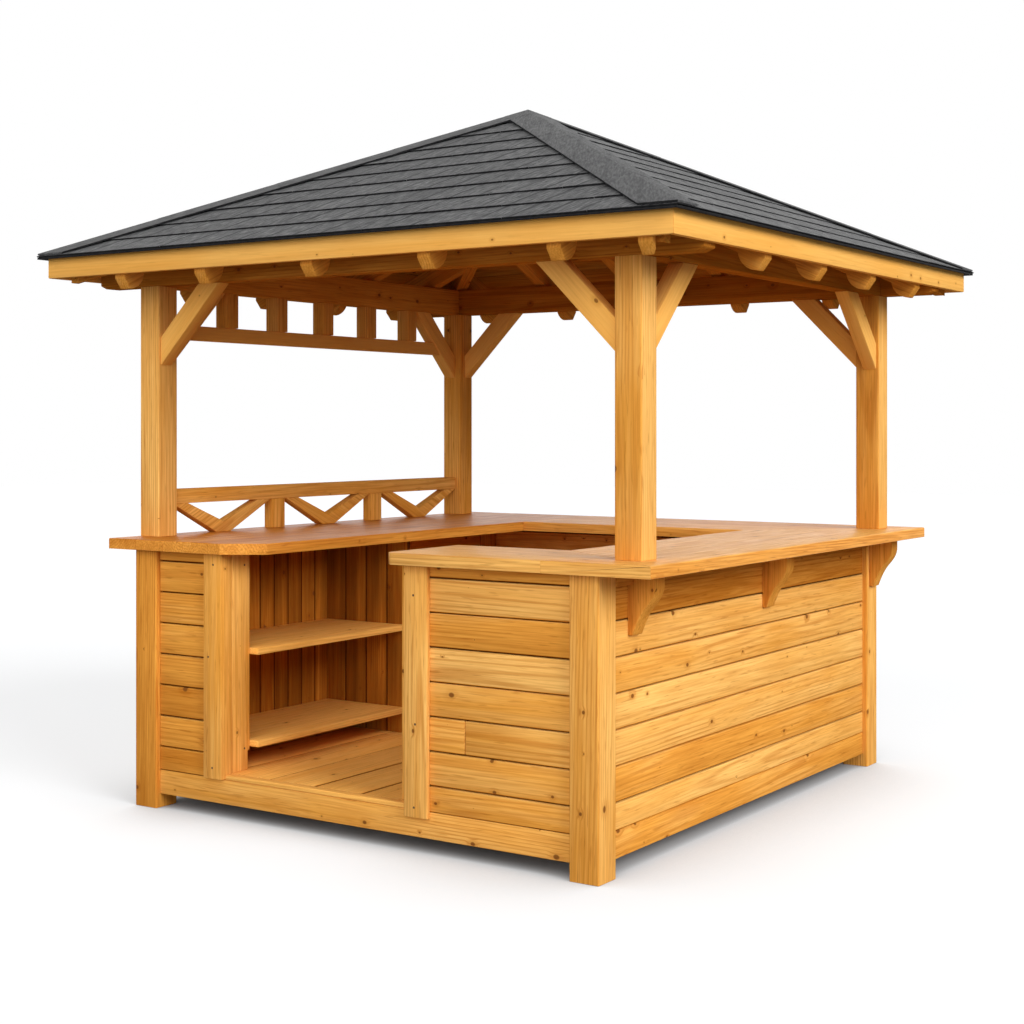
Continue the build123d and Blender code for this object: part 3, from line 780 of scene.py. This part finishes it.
def boardSlope(nodeName):
    rng = random.Random(nodeName)
    slope = slopeFrame(nodeName)
    lows, highs = slope["lows"], slope["highs"]
    count = round((highs[1] - lows[1]) / roofBoards["cover"])
    step = (highs[1] - lows[1]) / count
    boards = []
    for place in range(count):
        start = lows[1] + step * place
        half = highs[0] * (1 - place / count) + roofBoards["spare"]
        board = sawBoard((-half, start, slope["top"] - roofBoards["thick"]),
                         (half, start + step - roofBoards["gap"], slope["top"]), roofBoards["edge"])
        onSlope(board, slope)
        if trimAtHips(board, slope):
            markGrain(board, rng, slope["along"], mid=roofBoards["tone"], spread=0.06)
            paint(board, pineFinish)
            boards.append(board)
    handOver(joinUp(boards, nodeName + "_planks"), nodeName)


shingle = {"courses": 10, "lap": 0.03, "thick": 0.006, "widths": (0.22, 0.42), "slot": 0.0015, "edge": 0.001,
           "lift": 0.0006, "slip": (-0.002, 0.002), "eaveSlip": (0, 0.003), "eaveBack": 0.003, "spare": 0.1,
           "under": (0.020, 0.0068), "underEdge": 0.002, "lip": 0.013, "lipRun": 0.030,
           "tones": (-0.05, 0.07), "courseShift": 3.1,
           "thin": {"right_covering": 0.0038}, "paler": {"right_covering": 0.10}}


def blackButt(piece):
    # the cut lower edge of a shingle shows its black core, which also stands in as painted shade under each course
    piece.data.materials.append(edgeFinish)
    for face in piece.data.polygons:
        if face.normal.y < -0.5:
            face.material_index = 1


def shingleSlope(nodeName):
    rng = random.Random(nodeName)
    slope = slopeFrame(nodeName)
    lows, highs = slope["lows"], slope["highs"]
    deep, shallow = shingle["under"]
    underLow, underHigh = (lows[0], lows[1], slope["top"] - deep), (highs[0], highs[1], slope["top"] - shallow)
    under = sawBoard(underLow, underHigh, shingle["underEdge"])
    # the lower edge is undercut to a thin lip
    lipWay = Vector((0, shingle["lip"] - deep, -shingle["lipRun"])).normalized()
    cutPast(under, (0, lows[1], slope["top"] - shingle["lip"]), lipWay)
    onSlope(under, slope)
    trimAtHips(under, slope)
    paint(under, edgeFinish)
    parts = [under]
    exposure = (highs[1] - lows[1]) / shingle["courses"]
    length = exposure + shingle["lap"]
    meanWidth = sum(shingle["widths"]) / 2
    thick = shingle["thin"].get(nodeName, shingle["thick"])
    first = sawBoard((-meanWidth / 2, 0, 0), (meanWidth / 2, length, thick), shingle["edge"], 1)
    paint(first, feltFinish)
    blackButt(first)
    tilt = Matrix.Rotation(-math.atan2(thick, exposure), 4, "X")
    for course in range(shingle["courses"]):
        start = lows[1] + exposure * course + (shingle["eaveBack"] if course == 0 else 0)
        half = highs[0] * (1 - course / shingle["courses"]) + shingle["spare"]
        left = -half - rng.uniform(0, meanWidth)
        while left < half:
            width = rng.uniform(*shingle["widths"])
            tab = ownCopy(first)
            lift = slope["top"] - thick + rng.uniform(-shingle["lift"], shingle["lift"])
            slip = rng.uniform(*(shingle["eaveSlip"] if course == 0 else shingle["slip"]))
            spot = Matrix.Translation((left + width / 2, start + slip, lift))
            stretch = Matrix.Diagonal(((width - shingle["slot"]) / meanWidth, 1, 1, 1))
            tab.matrix_world = spot @ tilt @ stretch
            onSlope(tab, slope)
            left += width
            if trimAtHips(tab, slope):
                # a random tone, and on the right slope a paler one as painted light
                markTone(tab, rng.uniform(*shingle["tones"]) + shingle["paler"].get(nodeName, 0))
                markLay(tab, slope["turn"], Vector(), Vector((0, 0, course * shingle["courseShift"])))
                parts.append(tab)
            else:
                bpy.data.objects.remove(tab)
    bpy.data.objects.remove(first)
    handOver(joinUp(parts, nodeName + "_shingles"), nodeName)


roofSides = ("front", "right", "back", "left")
for roofSide in roofSides:
    boardSlope(roofSide + "_roof_boards")
    shingleSlope(roofSide + "_covering")
print("roof boarded and shingled")


# caps along the hips: thin folded pieces, each over the one below

capLook = {"reach": 0.102, "exposure": 0.5, "lap": 0.05, "thick": 0.006, "step": 0.0008, "edge": 0.0008,
           "apexDrop": 0.008, "eaveRise": 0.02, "lift": 0.0025, "tones": (-0.08, -0.02), "placeShift": 1.7}


def capHips():
    rng = random.Random("hip_caps")
    low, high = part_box("hip_caps")
    slopes = {roofSide: slopeFrame(roofSide + "_covering") for roofSide in roofSides}
    apex = Vector((0, 0, high[2] - capLook["apexDrop"]))
    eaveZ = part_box("front_covering")[0][2] + capLook["eaveRise"]
    parts = []
    for xSide, ySide in ((1, -1), (1, 1), (-1, 1), (-1, -1)):
        foot = Vector((high[0] * xSide, high[1] * ySide, eaveZ))
        up = (apex - foot).normalized()
        side = up.cross(Vector(zWay)).normalized()
        out = side.cross(up)
        length = (apex - foot).length
        turn = Matrix((side, up, out)).transposed().to_4x4()
        neighbours = ("right" if xSide > 0 else "left", "front" if ySide < 0 else "back")
        normals = [slopes[name]["turn"].to_3x3() @ Vector(zWay) for name in neighbours]
        falls = {}
        for normal in normals:
            falls[1 if normal.dot(side) > 0 else -1] = abs(normal.dot(side) / normal.dot(out))
        bpy.ops.object.select_all(action="DESELECT")
        bpy.ops.mesh.primitive_grid_add(x_subdivisions=2, y_subdivisions=1, size=1)
        first = bpy.context.object
        pieceLength = capLook["exposure"] + capLook["lap"]
        for vertex in first.data.vertices:
            sign = (vertex.co.x > 0.1) - (vertex.co.x < -0.1)
            run = capLook["reach"] / math.sqrt(1 + falls.get(sign, 0) ** 2)
            vertex.co = (sign * run, (vertex.co.y + 0.5) * pieceLength, -run * falls.get(sign, 0) if sign else 0)
        openAll(first)
        bpy.ops.mesh.normals_make_consistent(inside=False)
        closeEdit()
        shell = first.modifiers.new("shell", "SOLIDIFY")
        shell.thickness = capLook["thick"]
        shell.offset = 1
        takeUp(first)
        bpy.ops.object.modifier_apply(modifier="shell")
        easeEdges(first, capLook["edge"], 1)
        paint(first, capFinish)
        # the cap's side edges are black for the felt's core and also as painted shade under the cap
        first.data.materials.append(edgeFinish)
        for face in first.data.polygons:
            if abs(face.normal.x) > 0.8:
                face.material_index = 1
        tilt = Matrix.Rotation(-math.atan2(capLook["step"], capLook["exposure"]), 4, "X")
        count = math.ceil(length / capLook["exposure"])
        for place in range(count):
            piece = ownCopy(first)
            spot = Matrix.Translation((0, capLook["exposure"] * place, capLook["lift"]))
            piece.matrix_world = Matrix.Translation(foot) @ turn @ spot @ tilt
            takeUp(piece)
            bpy.ops.object.transform_apply(location=True, rotation=True, scale=True)
            cuts = (((0, 0, 0), (-xSide, 0, 0)), ((0, 0, 0), (0, -ySide, 0)),
                    ((high[0] * xSide, 0, 0), (xSide, 0, 0)), ((0, high[1] * ySide, 0), (0, ySide, 0)))
            for point, way in cuts:
                past = [Vector(way).dot(vertex.co - Vector(point)) for vertex in piece.data.vertices]
                if past and max(past) > 0:
                    cutPast(piece, point, way)
            if len(piece.data.vertices) == 0:
                bpy.data.objects.remove(piece)
                continue
            markTone(piece, rng.uniform(*capLook["tones"]))
            markLay(piece, turn, foot, Vector((0, 0, place * capLook["placeShift"])))
            parts.append(piece)
        bpy.data.objects.remove(first)
    handOver(joinUp(parts, "hip_cap_pieces"), "hip_caps")


capHips()
print("hips capped")


# floor, light and camera

stageLook = {"size": 60.0, "seenColour": (0.385, 0.395, 0.405, 1), "bounceColour": (0.25, 0.25, 0.25, 1),
             "floorGlow": 0.69, "contact": 0.8}


def seenDirectly(tree, path):
    # 1 for what the camera sees, also in a reflection or through glass
    seen = mathNode(tree, "MAXIMUM", path.outputs["Is Camera Ray"], path.outputs["Is Glossy Ray"])
    return mathNode(tree, "MAXIMUM", seen, path.outputs["Is Transmission Ray"])


def whiteStage():
    bpy.ops.object.select_all(action="DESELECT")
    bpy.ops.mesh.primitive_plane_add(size=stageLook["size"], location=(0, 0, 0))
    ground = bpy.context.object
    ground.name = "studio_floor"
    finish, tree, shader = newFinish("paleFloor")
    shader.inputs["Roughness"].default_value = 1.0
    shader.inputs["Specular IOR Level"].default_value = 0.0
    path = addNode(tree, "ShaderNodeLightPath")
    seen = seenDirectly(tree, path)
    colour = mixColour(tree, "MIX", path.outputs["Is Camera Ray"], stageLook["bounceColour"], stageLook["seenColour"])
    tree.links.new(colour, shader.inputs["Base Color"])
    # the glow fades where the object stands close above the floor: a painted contact shadow
    paintedContactShadow = addNode(tree, "ShaderNodeAmbientOcclusion", {"samples": 16}, {"Distance": stageLook["contact"]})
    glow = rangeNode(tree, paintedContactShadow.outputs["AO"], 0.0, 1.0, 0.0, stageLook["floorGlow"])
    glow = mathNode(tree, "MULTIPLY", seen, glow)
    shader.inputs["Emission Color"].default_value = (1, 1, 1, 1)
    tree.links.new(glow, shader.inputs["Emission Strength"])
    ground.data.materials.append(finish)


# sky strength, then each sun's strength, softness, turn from +X towards the front, and height
skyStrength = 0.22
suns = {"key_light": (2.8, 36, 10, 27), "front_fill": (2.15, 60, 76, 18), "back_fill": (0.6, 60, 225, 15)}


def studioLight():
    world = bpy.data.worlds.new("studio")
    bpy.context.scene.world = world
    world.use_nodes = True
    tree = world.node_tree
    back = tree.nodes["Background"]
    back.inputs["Color"].default_value = (1, 1, 1, 1)
    seen = seenDirectly(tree, addNode(tree, "ShaderNodeLightPath"))
    rest = mathNode(tree, "MULTIPLY", mathNode(tree, "SUBTRACT", 1.0, seen), skyStrength)
    tree.links.new(mathNode(tree, "ADD", seen, rest), back.inputs["Strength"])
    for name, (strength, softness, turn, height) in suns.items():
        turn, height = math.radians(turn), math.radians(height)
        bpy.ops.object.light_add(type="SUN", location=(4, -4, 6))
        sun = bpy.context.object
        sun.name = name
        sun.data.energy = strength
        sun.data.angle = math.radians(softness)
        toLight = Vector((math.cos(turn) * math.cos(height), -math.sin(turn) * math.cos(height), math.sin(height)))
        sun.rotation_euler = toLight.to_track_quat("Z", "Y").to_euler()


view = {"place": (3.859, -5.911, 1.5), "turn": 33.69, "lens": 58.83, "sensor": 36.0, "lift": -0.0832}


def photoCamera():
    bpy.ops.object.camera_add(location=view["place"], rotation=(math.radians(90), 0, math.radians(view["turn"])))
    camera = bpy.context.object
    camera.data.lens = view["lens"]
    camera.data.sensor_width = view["sensor"]
    camera.data.shift_y = view["lift"]
    bpy.context.scene.camera = camera


whiteStage()
studioLight()
photoCamera()
bpy.context.scene.view_settings.view_transform = "Standard"
print("stage, light and camera set")
